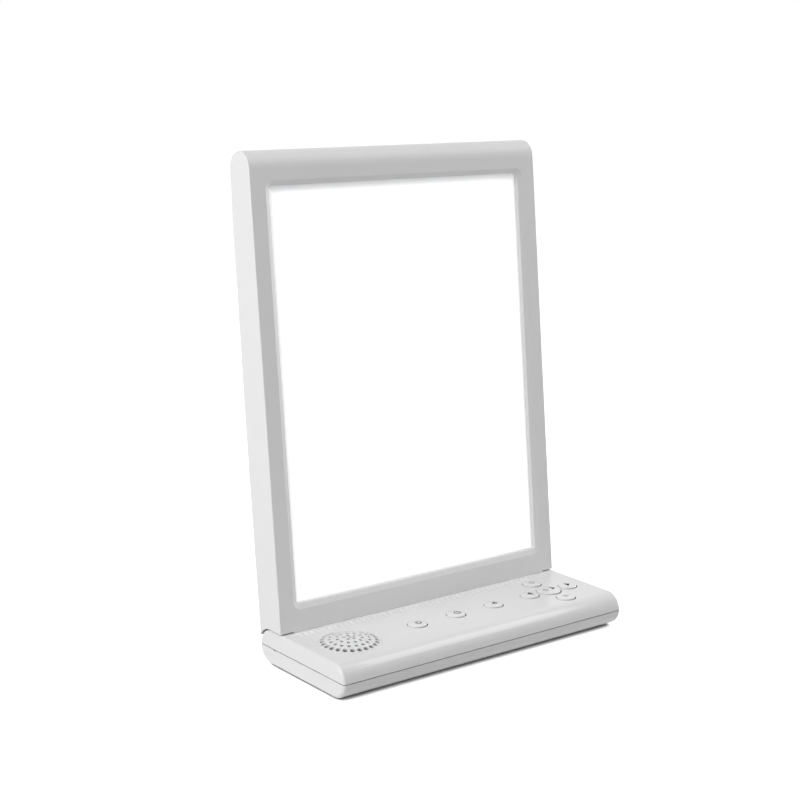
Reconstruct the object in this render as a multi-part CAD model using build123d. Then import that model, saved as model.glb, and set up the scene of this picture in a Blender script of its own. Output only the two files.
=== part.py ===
from build123d import *
import math
import os

# Light therapy lamp: an upright light panel hinged on the rear of a low, wide base.
# Millimetres. +Z is up, the lit side faces -Y, +X is to the right of someone facing the light.
# The origin is on the table, under the middle of the lamp as it stands.

# ---- base: outer form --------------------------------------------------------
base_width = 210.0
base_depth = 85.0
base_thickness = 20.4
base_end_soft = 2.0
base_wall = 2.2
foot_stand = 1.0
split_reveal = 0.4
tongue_thickness = 0.9
tongue_height = 1.6
fit_gap = 0.1

# ---- panel: outer form -------------------------------------------------------
panel_length = 275.6
panel_top_thickness = 20.6
panel_mid_thickness = 22.6
panel_foot_thickness = 22.3
panel_tilt = 5.7
panel_end_soft = 0.6
panel_wall = 2.0
foot_flat = 12.0
lip_gap = 0.65
lip_blunt = 0.3

# ---- light window ------------------------------------------------------------
window_side = 13.0
window_bottom = 15.2
window_top = 20.5
window_radius = 2.5
bevel_width = 3.0
bevel_depth = 1.2
rim_thickness = 1.6
diffuser_recess = 4.2

# ---- light stack, front to back ----------------------------------------------
stack_overlap = 3.0
diffuser_thickness = 2.0
guide_thickness = 3.0
reflector_thickness = 0.5
spreader_thickness = 1.0
spreader_flange = 4.6
strip_thickness = 1.0
led_length = 3.0
led_height = 2.6
led_proud = 0.6
led_pitch = 8.0
stack_gap = 0.1

# ---- panel back --------------------------------------------------------------
back_plate = 2.2
back_reveal = 0.3
back_bottom = 16.0
back_top = 14.0
back_radius = 4.0
vent_width = 2.0
vent_length = 60.0
vent_pitch = 5.0
vent_rows = 7
vent_from_edge = 16.0
panel_boss = 5.4
panel_boss_from_side = 6.0
panel_screw_rows = 3
panel_screw_margin = 24.0

# ---- screw holes ------------------------------------------------------------------
screw_shank = 2.6
screw_head = 5.2
screw_head_height = 1.5
screw_bite = 7.0

# ---- hinge -------------------------------------------------------------------
hinge_from_side = 43.0
knuckle_width = 22.0
knuckle_gap = 0.2
slot_side_gap = 0.6
slot_front_gap = 0.6
well_wall = 1.8
neck_rear = 7.5
shaft_radius = 3.0
shaft_tip_radius = 2.5
shaft_running = 0.05
shaft_pass_gap = 0.5
shoulder_radius = 4.5
shoulder_width = 1.2
axial_gap = 0.05
ear_thickness = 2.0
ear_radius = 6.0
bracket_foot_length = 13.0
bracket_foot_depth = 15.0
bracket_foot_thickness = 1.6
bracket_boss = 5.6
bracket_boss_height = 0.8
disc_thickness = 1.8
disc_radius = 4.6
nut_across = 8.0
nut_width = 3.2
shaft_stub = 1.0
bush_radius = 4.6
bush_length = 3.4
arm_thickness = 2.0
arm_eye = 6.0
arm_width = 5.6
arm_pocket_gap = 0.3
tab_width = 18.0
tab_length = 34.0
tab_thickness = 1.6
tab_from_foot = 4.0
tab_screw_spread = 12.0
tab_screw_low = 4.5
tab_screw_high = 5.5

# ---- controls ----------------------------------------------------------------
controls_from_front = 31.6
row_names = ("power_key", "timer_key", "sound_key")
row_from_speaker = 28.3
pad_from_side = 31.6
pad_pitch = 15.8
key_radius = 5.9
select_radius = 7.8
key_proud = 1.0
key_edge = 0.3
key_gap = 0.25
key_flange = 0.7
key_flange_thickness = 0.9
key_travel = 0.6
plunger_radius = 1.6
switch_size = 5.0
switch_height = 1.4
switch_button_radius = 1.2
switch_button_height = 0.6
switch_clear = 0.1

# ---- speaker -----------------------------------------------------------------
speaker_from_side = 26.4
grille_radius = 18.4
grille_fit = 0.03
grille_rise = 3.0
grille_wall = 1.6
grille_rim = 1.4
grille_flange = 1.9
grille_flange_thickness = 1.2
ring_outer = 15.8
ring_pitch = 4.25
ring_count = 4
hole_pitch = 4.15
hole_outer_radius = 1.5
hole_inner_radius = 1.1
gasket_thickness = 0.6
gasket_width = 3.2
frame_flange_thickness = 1.0
frame_wall = 0.8
frame_depth = 6.0
frame_neck = 8.0
cone_thickness = 0.5
cone_gap = 0.3
cone_inner = 5.0
cap_rise = 1.6
surround_width = 2.4
surround_rise = 0.6
magnet_radius = 10.0
magnet_height = 4.6
magnet_rest_radius = 6.0

# ---- ribbed cover strip in front of the panel ---------------------------------
strip_from_side = 9.0
strip_depth = 8.4
strip_proud = 0.9
strip_front_proud = 0.2
strip_seat = 0.8
strip_rib_pitch = 4.0
strip_rib_rise = 0.55
strip_foot_gap = 0.2
strip_fit = 0.03

# ---- inside the base ----------------------------------------------------------
ballast_from_speaker = 4.3
ballast_from_jack = 0.7
ballast_from_nose = 2.4
ballast_from_well = 5.8
ballast_thickness = 5.4
ballast_corner = 4.0
board_thickness = 1.6
board_inset = 4.0
main_board_lift = 0.8
board_corner = 1.5
post_radius = 3.0
post_hole_gap = 0.5
post_margin = 6.0
key_board_drop = 4.4
key_board_depth = 15.0
key_board_margin = 7.5
base_boss = 3.2
base_screw_from_side = 6.5
base_screw_from_end = 11.5
rear_screw_from_end = 16.0
foot_pad_length = 16.0
foot_pad_width = 8.0
foot_pad_seat = 0.8
foot_pad_from_side = 19.0
foot_pad_from_end = 14.5
chip_height = 1.0
chip_sizes = ((14.0, 14.0), (9.0, 9.0), (7.0, 5.0))
chip_spacing = 22.0
chip_row = 6.0
driver_lift = 2.0
driver_width = 70.0
driver_length = 34.0

# ---- power inlet ---------------------------------------------------------------
jack_from_rear = 29.0
jack_radius = 4.8
jack_length = 14.0
jack_bore = 3.2
jack_bore_depth = 9.5
jack_pin = 1.0
jack_pin_short = 1.5
jack_collar = 5.6
jack_collar_thickness = 1.6
jack_recess = 0.3

# ---- small notch in the split line on the left side -----------------------------
notch_from_rear = 15.5
notch_width = 1.6
notch_depth = 1.0

# ---- derived places --------------------------------------------------------------
cos_t = math.cos(math.radians(panel_tilt))
sin_t = math.sin(math.radians(panel_tilt))
nose = base_thickness / 2
top_radius = panel_top_thickness / 2
# the lamp reaches from the front of the base to the back of the panel's top
lean = (panel_length - top_radius) * sin_t + top_radius * (cos_t + 1)
stand_depth = base_depth - nose - foot_flat + lean
front_y = -stand_depth / 2
rear_y = front_y + base_depth
middle_y = (front_y + rear_y) / 2
floor_z = foot_stand
top_z = foot_stand + base_thickness
split_z = (floor_z + top_z) / 2
ceiling_z = top_z - base_wall
inner_floor_z = floor_z + base_wall
axis_y = rear_y - nose
axis_z = split_z
lip_radius = nose + lip_gap
foot_y = axis_y - foot_flat
foot_z = axis_z + lip_radius
knuckle_radius = nose - knuckle_gap
half_width = base_width / 2
hinge_x = half_width - hinge_from_side
jack_y = rear_y - jack_from_rear
# the speaker hangs under the grille's flange
gasket_top = ceiling_z - grille_flange_thickness
speaker_top = gasket_top - gasket_thickness
basket_low = speaker_top - frame_flange_thickness - frame_depth
magnet_low = basket_low - magnet_height
speaker_radius = grille_radius + grille_flange
# the row of keys fills the space between the speaker and the round pad of keys
controls_y = front_y + controls_from_front
speaker_x = speaker_from_side - half_width
pad_x = half_width - pad_from_side
row_start = speaker_x + speaker_radius + row_from_speaker
row_pitch = (pad_x - pad_pitch - row_start) / len(row_names)
# hinge axis in the panel's own directions: along the face, and behind it
axis_along = (axis_y - foot_y) * sin_t + (axis_z - foot_z) * cos_t
axis_behind = (axis_y - foot_y) * cos_t - (axis_z - foot_z) * sin_t
spreader_front = diffuser_recess + diffuser_thickness + guide_thickness + reflector_thickness
spreader_back = spreader_front + spreader_thickness
screw_pilot = screw_shank / 2 - fit_gap
screw_pass = screw_shank / 2 + fit_gap
big = 400.0
sides = (-1, 1)

# the face plane: x across, y up along the face, z outward from the lit side
face_plane = Plane(origin=(0, foot_y, foot_z), x_dir=(1, 0, 0), z_dir=(0, -cos_t, sin_t))


# ---- helpers -----------------------------------------------------------------------
def at_panel(along, behind):
    """World (y, z) of a point given along the panel's face and behind it."""
    return (
        foot_y + along * sin_t + behind * cos_t,
        foot_z + along * cos_t - behind * sin_t,
    )


def panel_box(width, low, high, front, back, x=0.0):
    """A block inside the panel, between two heights along it and two depths behind its face."""
    place = face_plane * Pos(x, (low + high) / 2, -(front + back) / 2)
    return place * Box(width, high - low, back - front)


def panel_rod(radius, x, along, front, back):
    """A round bar square to the panel's face."""
    place = face_plane * Pos(x, along, -(front + back) / 2)
    return place * Cylinder(radius, back - front)


def upright(radius, x, y, low, high):
    """A round bar standing between two heights."""
    return Pos(x, y, (low + high) / 2) * Cylinder(radius, high - low)


def along_x(radius, x_from, x_to, y, z):
    """A round bar along X."""
    place = Pos((x_from + x_to) / 2, y, z) * Rot(0, 90, 0)
    return place * Cylinder(radius, abs(x_to - x_from))


def block(x_from, x_to, y_from, y_to, z_from, z_to):
    """A plain block by its limits."""
    place = Pos((x_from + x_to) / 2, (y_from + y_to) / 2, (z_from + z_to) / 2)
    return place * Box(abs(x_to - x_from), y_to - y_from, z_to - z_from)


def bullnose_bar(inset, soft):
    """The base's stadium section drawn out along X, smaller all round by inset."""
    section = Plane.YZ * SlotOverall(base_depth - 2 * inset, base_thickness - 2 * inset)
    bar = extrude(section, half_width - inset, both=True)
    if soft > 0:
        bar = fillet(bar.faces().filter_by(Axis.X).edges(), soft)
    return Pos(0, middle_y, split_z) * bar


def save(name, shape):
    export_step(shape, "parts/" + name + ".step")


def group(solids):
    """Several solids kept apart in one node."""
    return Compound(children=[solid for piece in solids for solid in piece.solids()])


# ---- hinge places, mirrored left and right -------------------------------------------
slot_half = knuckle_width / 2 + slot_side_gap
slot_front_y = axis_y - knuckle_radius - slot_front_gap
well_half = slot_half + well_wall
shoulder_start = well_half + axial_gap + fit_gap
ear_start = shoulder_start + shoulder_width + axial_gap
disc_start = ear_start + ear_thickness + axial_gap
nut_start = disc_start + disc_thickness + axial_gap
tip_end = nut_start + nut_width + shaft_stub
bracket_end = ear_start + bracket_foot_length + ear_thickness


def inward(side, distance):
    """X at a distance from the hinge's middle towards the middle of the lamp."""
    return side * (hinge_x - distance)


def hinge_slot(side):
    """The notch in the base's rear in which a knuckle turns."""
    x = side * hinge_x
    return block(x - slot_half, x + slot_half, slot_front_y, rear_y + nose, -big, big)


def hinge_well(side):
    """Walls that close the base's inside off from the notch."""
    x = side * hinge_x
    outer = block(x - well_half, x + well_half, slot_front_y - well_wall, rear_y + nose, -big, big)
    return outer & bullnose_bar(0, 0)


def bracket_screw_places(side):
    x = inward(side, bracket_end - bracket_boss / 2 - fit_gap)
    rear = axis_y - bracket_boss / 2
    front = axis_y - bracket_foot_depth + bracket_boss / 2
    return [(x, front), (x, rear)]


def base_screw_places():
    x = half_width - base_screw_from_side
    rows = (front_y + base_screw_from_end, rear_y - rear_screw_from_end)
    return [(column, row) for column in (-x, 0, x) for row in rows]


def foot_pad_places():
    x = half_width - foot_pad_from_side
    rows = (front_y + foot_pad_from_end, rear_y - foot_pad_from_end)
    return [(column, row) for column in (-x, x) for row in rows]


def key_places():
    """Name, x, y and radius of every key."""
    places = []
    for number, name in enumerate(row_names):
        places.append((name, row_start + number * row_pitch, controls_y, key_radius))
    places.append(("select_key", pad_x, controls_y, select_radius))
    for name, dx, dy in (("left_key", -1, 0), ("right_key", 1, 0), ("back_key", 0, 1), ("front_key", 0, -1)):
        places.append((name, pad_x + dx * pad_pitch, controls_y + dy * pad_pitch, key_radius))
    return places


# the ballast plate fills the floor between speaker, power inlet, front nose and hinge wells
ballast_left = speaker_x + speaker_radius + ballast_from_speaker
ballast_right = half_width - jack_recess - jack_length - ballast_from_jack
ballast_front = front_y + nose + ballast_from_nose
ballast_rear = slot_front_y - well_wall - ballast_from_well
ballast_width = ballast_right - ballast_left
ballast_depth = ballast_rear - ballast_front
main_board_x = (ballast_left + ballast_right) / 2
main_board_y = (ballast_front + ballast_rear) / 2
main_board_z = inner_floor_z + ballast_thickness + main_board_lift
main_board_width = ballast_width - 2 * board_inset
main_board_depth = ballast_depth - 2 * board_inset
key_board_top = ceiling_z - key_board_drop


def post_places():
    """Posts of the main board, which also pass through the ballast plate."""
    x = main_board_width / 2 - post_margin
    y = main_board_depth / 2 - post_margin
    return [(main_board_x + i * x, main_board_y + j * y) for i in sides for j in sides]


def key_post_places():
    """Posts under the top cover that carry the key board."""
    first = row_start + row_pitch / 2
    return [(first + number * row_pitch, controls_y) for number in range(len(row_names))]


# ---- base shells ------------------------------------------------------------------------
def jack_hole():
    x = half_width - jack_recess
    outside = half_width + base_wall
    barrel = along_x(jack_radius + fit_gap, x - jack_length, outside, jack_y, split_z)
    collar = along_x(jack_collar + fit_gap, x - jack_collar_thickness, outside, jack_y, split_z)
    return barrel + collar


def strip_solid(grow):
    """The cover strip's plan, as a block from its seat up to its top."""
    x = half_width - strip_from_side + grow
    back = foot_y - strip_foot_gap
    return block(-x, x, back - strip_depth - grow, back + grow, top_z - strip_seat, top_z + strip_proud)


def hinge_bores(side):
    """Passages for a hinge shaft and the seat of its bush."""
    inner = along_x(shaft_radius + shaft_pass_gap, inward(side, slot_half - 1), inward(side, well_half + 1),
                    axis_y, axis_z)
    outer_from = side * (hinge_x + slot_half - 1)
    outer_to = side * (hinge_x + slot_half + bush_length + fit_gap)
    outer = along_x(bush_radius + fit_gap / 2, outer_from, outer_to, axis_y, axis_z)
    return inner + outer


def base_top_cover():
    shell = bullnose_bar(0, base_end_soft) - bullnose_bar(base_wall, 0)
    for side in sides:
        shell += hinge_well(side)
    for x, y in base_screw_places():
        shell += upright(base_boss, x, y, split_z, ceiling_z + fit_gap)
    for x, y in key_post_places():
        shell += upright(post_radius, x, y, key_board_top, ceiling_z + fit_gap)
    rebate = bullnose_bar(base_wall - tongue_thickness - fit_gap, 0)
    rebate &= block(-big, big, -big, big, split_z - 1, split_z + tongue_height + fit_gap)
    shell -= rebate - bullnose_bar(base_wall, 0)
    shell &= block(-big, big, -big, big, split_z + split_reveal / 2, big)
    for x, y in base_screw_places():
        shell -= upright(screw_pilot, x, y, 0, split_z + screw_bite)
    for x, y in key_post_places():
        shell -= upright(screw_pilot, x, y, 0, key_board_top + base_wall)
    for side in sides:
        shell -= hinge_slot(side) + hinge_bores(side)
    for _, x, y, radius in key_places():
        shell -= upright(radius + key_gap, x, y, ceiling_z - 1, top_z + 1)
        flange = radius + 2 * key_gap + key_flange
        shell -= upright(flange, x, y, ceiling_z - 2 * key_flange_thickness, ceiling_z)
    shell -= upright(grille_radius + grille_fit, speaker_x, controls_y, ceiling_z - 1, top_z + 1)
    shell -= strip_solid(strip_fit)
    shell -= jack_hole()
    return shell


def base_bottom_cover():
    shell = bullnose_bar(0, base_end_soft) - bullnose_bar(base_wall, 0)
    for side in sides:
        shell += hinge_well(side)
        for x, y in bracket_screw_places(side):
            shell += upright(bracket_boss / 2, x, y, floor_z + 1, inner_floor_z + bracket_boss_height)
    for x, y in base_screw_places():
        shell += upright(base_boss, x, y, floor_z + 1, split_z)
    for x, y in post_places():
        shell += upright(post_radius, x, y, floor_z + 1, main_board_z)
    shell += upright(magnet_rest_radius, speaker_x, controls_y, floor_z + 1, magnet_low)
    shell &= block(-big, big, -big, big, -big, split_z - split_reveal / 2)
    tongue = bullnose_bar(base_wall - tongue_thickness, 0) - bullnose_bar(base_wall, 0)
    tongue &= block(-big, big, -big, big, split_z - split_reveal, split_z + tongue_height)
    shell += tongue
    for x, y in base_screw_places():
        shell -= upright(screw_pass, x, y, 0, split_z)
        shell -= upright(screw_head / 2 + fit_gap, x, y, 0, floor_z + screw_head_height + fit_gap)
    for x, y in post_places():
        shell -= upright(screw_pilot, x, y, inner_floor_z, main_board_z)
    for side in sides:
        shell -= hinge_slot(side) + hinge_bores(side)
        for x, y in bracket_screw_places(side):
            shell -= upright(screw_pilot, x, y, floor_z + 1, inner_floor_z + bracket_boss_height)
    for x, y in foot_pad_places():
        seat = SlotOverall(foot_pad_length, foot_pad_width)
        shell -= Pos(x, y, floor_z - 1) * extrude(seat, foot_pad_seat + 1)
    shell -= jack_hole()
    notch_y = rear_y - notch_from_rear
    shell -= block(-half_width - 1, -half_width + notch_depth, notch_y - notch_width / 2,
                   notch_y + notch_width / 2, split_z - notch_width / 2, split_z + notch_width / 2)
    return shell


def rubber_feet():
    pads = []
    for x, y in foot_pad_places():
        pad = extrude(SlotOverall(foot_pad_length, foot_pad_width), foot_stand + foot_pad_seat)
        pads.append(Pos(x, y, 0) * chamfer(pad.edges().group_by(Axis.Z)[0], foot_stand / 3))
    return group(pads)


# ---- ribbed cover strip --------------------------------------------------------------------
def cover_strip():
    """A low ramp that rises to the panel's foot, cut into rounded ribs that run front to back."""
    back = foot_y - strip_foot_gap
    front = back - strip_depth
    with BuildSketch(Plane.YZ) as ramp:
        with BuildLine():
            Polyline((front, top_z + strip_front_proud), (front, top_z - strip_seat),
                     (back, top_z - strip_seat), (back, top_z + strip_proud))
            ThreePointArc((back, top_z + strip_proud),
                          ((front + back) / 2, top_z + strip_proud * 0.85),
                          (front, top_z + strip_front_proud))
        make_face()
    half = half_width - strip_from_side
    strip = extrude(ramp.sketch, half, both=True)
    ribs = round(2 * half / strip_rib_pitch)
    step = 2 * half / ribs
    crest = top_z + strip_proud
    with BuildSketch(Plane.XZ.offset(-front)) as scallop:
        with BuildLine():
            for number in range(ribs):
                left = -half + number * step
                ThreePointArc((left, crest - strip_rib_rise), (left + step / 2, crest),
                              (left + step, crest - strip_rib_rise))
            Polyline((half, crest - strip_rib_rise), (half, top_z - strip_seat),
                     (-half, top_z - strip_seat), (-half, crest - strip_rib_rise))
        make_face()
    return strip & extrude(scallop.sketch, -strip_depth)


# ---- keys and boards ------------------------------------------------------------------------
def key(x, y, radius):
    """A round cap with an eased edge, a retaining flange and a plunger over its switch."""
    flange_top = ceiling_z - axial_gap
    flange_bottom = flange_top - key_flange_thickness
    cap = upright(radius, x, y, flange_bottom, top_z + key_proud)
    cap = chamfer(cap.edges().group_by(Axis.Z)[-1], key_edge)
    cap += upright(radius + key_gap + key_flange, x, y, flange_bottom, flange_top)
    switch_top = key_board_top + switch_height + switch_button_height
    cap += upright(plunger_radius, x, y, switch_top + key_travel + switch_clear, flange_bottom)
    return cap


def key_board():
    low = key_board_top - board_thickness
    half = key_board_depth / 2
    left = row_start - key_board_margin
    right = pad_x + pad_pitch + key_board_margin
    pad_half = pad_pitch + key_board_margin
    board = block(left, right, controls_y - half, controls_y + half, low, key_board_top)
    board += block(pad_x - key_board_margin, pad_x + key_board_margin,
                   controls_y - pad_half, controls_y + pad_half, low, key_board_top)
    for x, y in key_post_places():
        board -= upright(screw_pass, x, y, low - 1, key_board_top + 1)
    return board


def key_switches():
    """One low push switch under every key."""
    switches = []
    half = switch_size / 2
    for _, x, y, _ in key_places():
        body = block(x - half, x + half, y - half, y + half, key_board_top, key_board_top + switch_height)
        top = key_board_top + switch_height
        body += upright(switch_button_radius, x, y, top, top + switch_button_height)
        switches.append(body)
    return group(switches)


def main_board():
    board = Pos(main_board_x, main_board_y, main_board_z) * extrude(
        RectangleRounded(main_board_width, main_board_depth, board_corner), board_thickness)
    for x, y in post_places():
        board -= upright(screw_pass, x, y, main_board_z - 1, main_board_z + board_thickness + 1)
    return board


def board_parts():
    """The larger packages on the main board."""
    top = main_board_z + board_thickness
    parts = []
    for number, (length, width) in enumerate(chip_sizes):
        x = main_board_x + (number - 1) * chip_spacing
        chip = Pos(x, main_board_y + chip_row, top + chip_height / 2) * Box(length, width, chip_height)
        parts.append(chip)
    return group(parts)


def ballast_plate():
    """A steel plate that keeps the tall panel from tipping the base over."""
    plate = extrude(RectangleRounded(ballast_width, ballast_depth, ballast_corner), ballast_thickness)
    plate = Pos(main_board_x, main_board_y, inner_floor_z) * plate
    for x, y in base_screw_places():
        plate -= upright(base_boss + post_hole_gap, x, y, 0, top_z)
    for x, y in post_places():
        plate -= upright(post_radius + post_hole_gap, x, y, 0, top_z)
    return plate


# ---- speaker ----------------------------------------------------------------------------------
def cap_height(radius, rise, x):
    """Height above its rim of a spherical cap, at a distance x from its middle."""
    ball = (radius ** 2 + rise ** 2) / (2 * rise)
    return math.sqrt(ball ** 2 - x ** 2) - ball + rise


def grille_holes():
    """Rings of holes square to the dome, each ring with as many as keep the same spacing round it."""
    ball = (grille_radius ** 2 + grille_rise ** 2) / (2 * grille_rise)
    centre = Pos(0, 0, grille_rise - ball)
    holes = [Pos(0, 0, grille_rise) * Cylinder(hole_inner_radius, 4 * grille_wall)]
    for ring in range(ring_count):
        radius = ring_outer - ring * ring_pitch
        count = round(2 * math.pi * radius / hole_pitch)
        size = hole_outer_radius if ring == 0 else hole_inner_radius
        tilt = math.degrees(math.asin(radius / ball))
        for number in range(count):
            turn = Rot(0, 0, 360 * number / count) * Rot(0, tilt, 0)
            holes.append(centre * turn * Pos(0, 0, ball) * Cylinder(size, 4 * grille_wall))
    return holes


def speaker_grille():
    """A shallow domed cap with rings of holes, on a rim that is held under the top cover."""
    flange_z = -base_wall
    inner = grille_radius - grille_rim
    ball = (grille_radius ** 2 + grille_rise ** 2) / (2 * grille_rise)
    inner_ball = ball - grille_wall
    under = [(x, math.sqrt(inner_ball ** 2 - x ** 2) - ball + grille_rise) for x in (inner, inner / 2, 0)]
    with BuildSketch(Plane.XZ) as half_section:
        with BuildLine():
            ThreePointArc((0, grille_rise),
                          (grille_radius / 2, cap_height(grille_radius, grille_rise, grille_radius / 2)),
                          (grille_radius, 0))
            Polyline((grille_radius, 0), (grille_radius, flange_z),
                     (grille_radius + grille_flange, flange_z),
                     (grille_radius + grille_flange, flange_z - grille_flange_thickness),
                     (inner, flange_z - grille_flange_thickness), under[0])
            ThreePointArc(*under)
            Line((0, grille_rise - grille_wall), (0, grille_rise))
        make_face()
    dome = revolve(half_section.sketch, Axis.Z)
    dome -= grille_holes()
    return Pos(speaker_x, controls_y, top_z) * dome


def speaker_gasket():
    ring = upright(speaker_radius, 0, 0, speaker_top, gasket_top)
    ring -= upright(speaker_radius - gasket_width, 0, 0, speaker_top - 1, gasket_top + 1)
    return Pos(speaker_x, controls_y, 0) * ring


def speaker_frame():
    """The driver's pressed basket: a flat flange, a cone and a bottom for the magnet."""
    inner = speaker_radius - gasket_width
    low = basket_low
    with BuildSketch(Plane.XZ) as half_section:
        Polygon((inner, speaker_top), (speaker_radius, speaker_top),
                (speaker_radius, speaker_top - frame_flange_thickness),
                (inner + frame_wall, speaker_top - frame_flange_thickness),
                (frame_neck + frame_wall, low), (frame_neck - frame_wall * 2, low),
                (frame_neck - frame_wall * 2, low + frame_wall), (frame_neck, low + frame_wall),
                (inner, speaker_top - frame_flange_thickness), align=None)
    basket = revolve(half_section.sketch, Axis.Z)
    for turn in range(4):
        window = Box(frame_neck, frame_neck, frame_depth - 4 * frame_wall)
        basket -= Rot(0, 0, 90 * turn + 45) * Pos(inner - frame_wall, 0, low + frame_depth / 2) * window
    return Pos(speaker_x, controls_y, 0) * basket


def speaker_cone():
    """Cone, dust cap and raised surround in one moving diaphragm."""
    outer = speaker_radius - gasket_width - cone_gap
    rim = outer - surround_width
    top = speaker_top - cone_gap
    low = basket_low + frame_wall + cone_gap + cone_thickness
    crown = (rim + outer) / 2
    upper = [(0, low + cap_rise), (cone_inner / 2, low + cap_rise), (cone_inner, low), (rim, top),
             (crown, top + surround_rise), (outer, top)]
    lower = [(x, z - cone_thickness) for x, z in reversed(upper)]
    profile = Plane.XZ * Polygon(*upper, *lower, align=None)
    return Pos(speaker_x, controls_y, 0) * revolve(profile, Axis.Z)


def speaker_magnet():
    magnet = upright(magnet_radius, 0, 0, magnet_low, basket_low)
    magnet = chamfer(magnet.edges().group_by(Axis.Z)[0], frame_wall)
    return Pos(speaker_x, controls_y, 0) * magnet


# ---- power inlet ----------------------------------------------------------------------------------
def dc_jack():
    """A round socket with a centre pin, held between the two shells on the right side."""
    x = half_width - jack_recess
    jack = along_x(jack_radius, x - jack_length, x, jack_y, split_z)
    jack += along_x(jack_collar, x - jack_collar_thickness, x, jack_y, split_z)
    jack -= along_x(jack_bore, x - jack_bore_depth, x + 1, jack_y, split_z)
    jack += along_x(jack_pin, x - jack_bore_depth - 1, x - jack_pin_short, jack_y, split_z)
    return jack


# ---- hinge pieces -----------------------------------------------------------------------------------
def hinge_bracket(side):
    """A pressed steel bracket: a foot screwed to the bottom cover and an ear round the shaft."""
    foot_bottom = inner_floor_z + bracket_boss_height
    foot_top = foot_bottom + bracket_foot_thickness
    front = axis_y - bracket_foot_depth
    ear_from = inward(side, ear_start)
    ear_to = inward(side, ear_start + ear_thickness)
    ear = along_x(ear_radius, ear_from, ear_to, axis_y, axis_z)
    ear += block(ear_from, ear_to, front, axis_y, foot_bottom, axis_z)
    foot = block(ear_from, inward(side, bracket_end), front, axis_y, foot_bottom, foot_top)
    # the ear's front edge slopes down to the front of the foot
    slope = Plane.YZ * Polygon((front - 1, axis_z + 1), (axis_y - ear_radius, axis_z + 1),
                               (axis_y - ear_radius, axis_z), (front - 1, foot_top + 1), align=None)
    bracket = ear + foot - extrude(slope, big / 2, both=True)
    bracket -= along_x(shaft_tip_radius + shaft_running, 0, side * half_width, axis_y, axis_z)
    for x, y in bracket_screw_places(side):
        bracket -= upright(screw_pass, x, y, 0, axis_z)
    return bracket


def hinge_shaft(side):
    """A stepped steel pin: a shoulder, a long end in the knuckle and bush, a short end for the springs."""
    outer = side * (hinge_x + slot_half + bush_length - fit_gap)
    shoulder_from = inward(side, shoulder_start)
    shoulder_to = inward(side, shoulder_start + shoulder_width)
    shaft = along_x(shaft_radius, outer, shoulder_from, axis_y, axis_z)
    shaft += along_x(shoulder_radius, shoulder_from, shoulder_to, axis_y, axis_z)
    shaft += along_x(shaft_tip_radius, shoulder_from, inward(side, tip_end), axis_y, axis_z)
    return shaft


def hinge_bushes():
    bushes = []
    for side in sides:
        start = side * (hinge_x + slot_half)
        end = start + side * bush_length
        bush = along_x(bush_radius, start, end, axis_y, axis_z)
        bush -= along_x(shaft_radius + shaft_running, start - side, end + side, axis_y, axis_z)
        bushes.append(bush)
    return group(bushes)


def disc_springs():
    """A stack of spring discs that presses the ear against the shaft's shoulder and gives the friction."""
    discs = []
    for side in sides:
        start = inward(side, disc_start)
        end = inward(side, disc_start + disc_thickness)
        disc = along_x(disc_radius, start, end, axis_y, axis_z)
        discs.append(disc - along_x(shaft_tip_radius + shaft_running, 0, side * half_width, axis_y, axis_z))
    return group(discs)


def hinge_nuts():
    nuts = []
    for side in sides:
        place = Pos(inward(side, nut_start), axis_y, axis_z) * Rot(0, 90, 0)
        hexagon = RegularPolygon(nut_across / 2, 6, major_radius=False) - Circle(shaft_tip_radius)
        nuts.append(place * extrude(hexagon, -side * nut_width))
    return group(nuts)


def arm_profile(grow):
    """Side view of a hinge arm: an eye on the axis and a leg up into the panel."""
    back = spreader_back + arm_width + grow
    front = spreader_back - grow
    low = axis_along
    leg = [at_panel(low, axis_behind - arm_eye - grow), at_panel(low, axis_behind + arm_eye + grow),
           at_panel(low + arm_eye, axis_behind + arm_eye + grow),
           at_panel(tab_from_foot, back), at_panel(tab_from_foot + tab_length, back),
           at_panel(tab_from_foot + tab_length, front), at_panel(tab_from_foot, front),
           at_panel(low + arm_eye, axis_behind - arm_eye - grow)]
    eye = Pos(axis_y, axis_z) * Circle(arm_eye + grow)
    return Plane.YZ * (eye + Polygon(*leg, align=None))


def tab_screw_places(side):
    """Low pair into the housing, high pair into the heat spreader: (x, along)."""
    x = side * hinge_x
    low = tab_from_foot + tab_screw_low
    high = tab_from_foot + tab_length - tab_screw_high
    return [(x + j * tab_screw_spread / 2, along) for along in (low, high) for j in sides]


def hinge_arm(side):
    """A steel arm with an eye on the shaft and a tab screwed behind the light stack."""
    x = side * hinge_x
    arm = Pos(x, 0, 0) * extrude(arm_profile(0), arm_thickness / 2, both=True)
    arm += panel_box(tab_width, tab_from_foot, tab_from_foot + tab_length, spreader_back,
                     spreader_back + tab_thickness, x)
    arm -= along_x(shaft_radius, x - arm_thickness, x + arm_thickness, axis_y, axis_z)
    for screw_x, along in tab_screw_places(side):
        arm -= panel_rod(screw_pass, screw_x, along, 0, spreader_back + 3 * tab_thickness)
    return arm


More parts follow.
